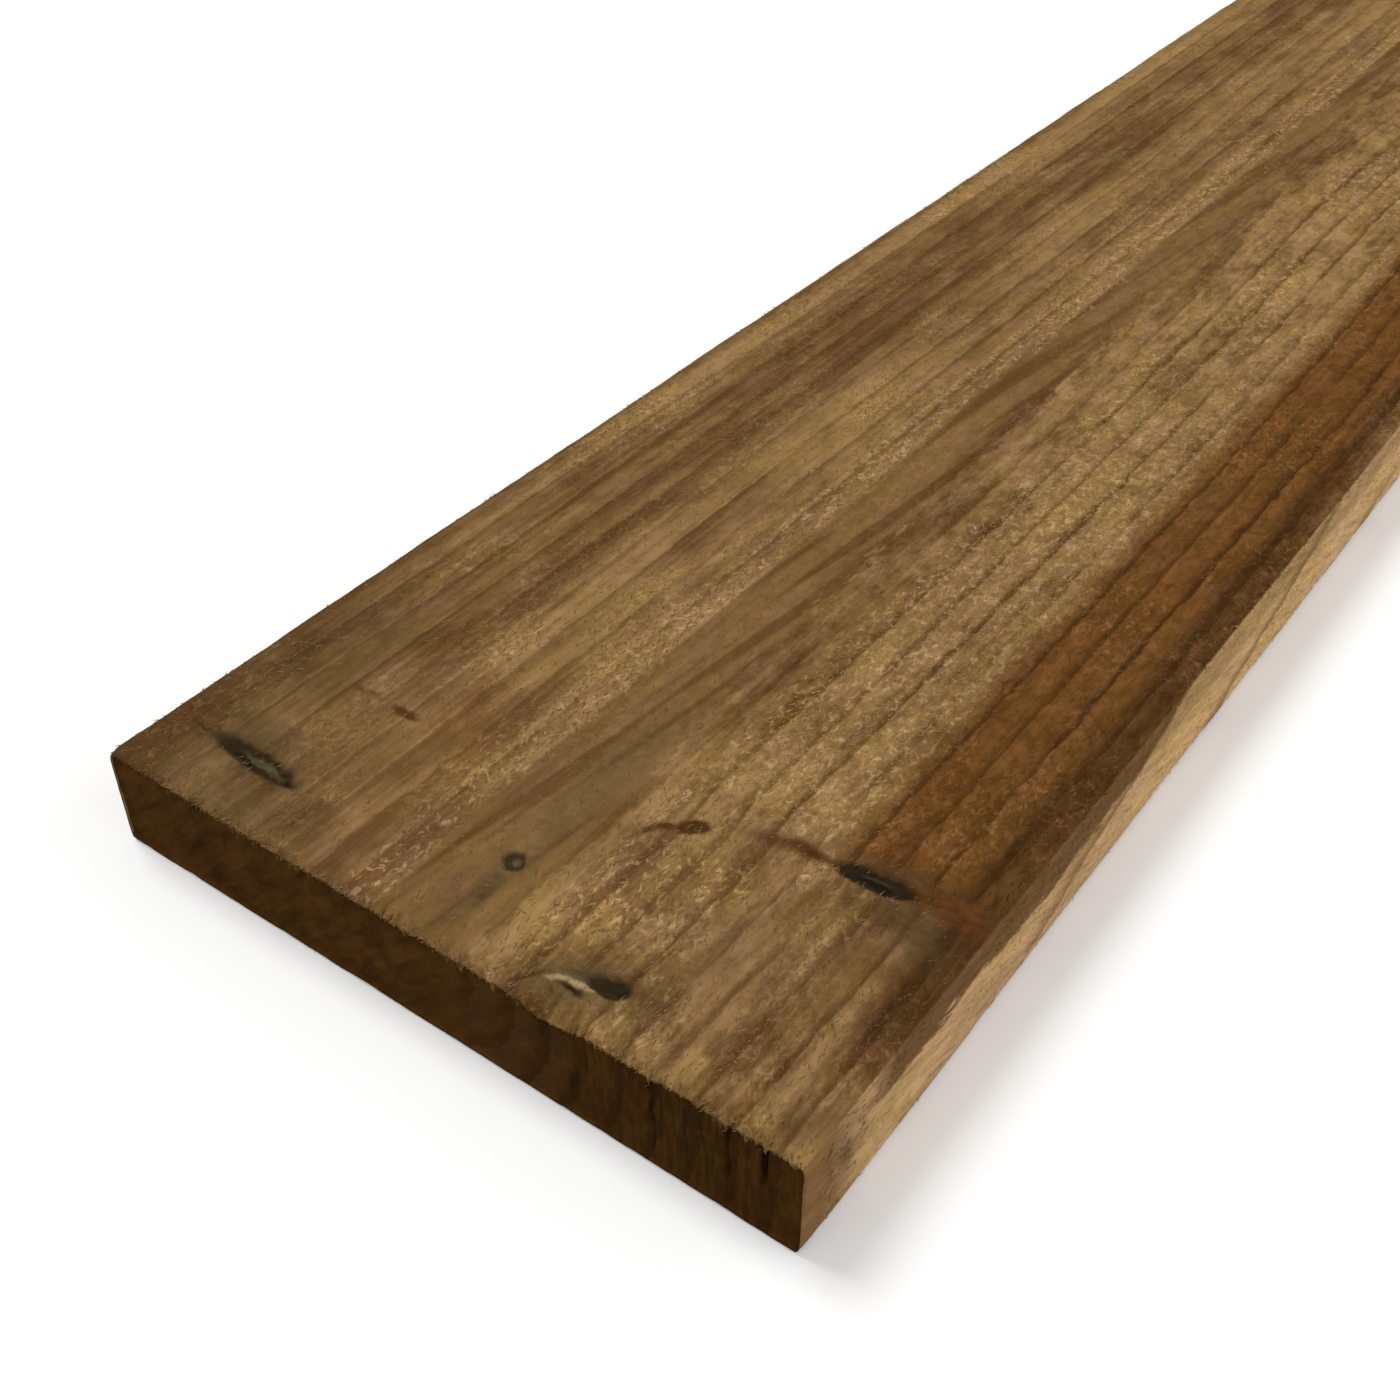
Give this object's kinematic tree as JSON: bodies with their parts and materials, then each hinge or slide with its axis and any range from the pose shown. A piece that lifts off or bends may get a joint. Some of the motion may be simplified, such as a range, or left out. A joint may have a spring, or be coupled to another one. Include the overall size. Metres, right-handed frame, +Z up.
{
  "type": "sawn timber plank",
  "caption": "Rough-sawn softwood plank of rectangular section with worn arrises, drying checks in one end and shrunken spike knots in the face, for cladding, fencing, shelving or decking.",
  "frame": {"origin": "middle of the underside, on the surface that the plank lies on", "axes": "+X along the length, away from the end with the drying checks; +Y across the width; +Z up, out of the face with the spike knots"},
  "size_m": [1.8, 0.15, 0.022],
  "materials": {
    "sawn_timber": "rough sawn, brown treated, matte"
  },
  "bodies": {
    "root": {"plank": "sawn_timber"}
  },
  "joints": []
}
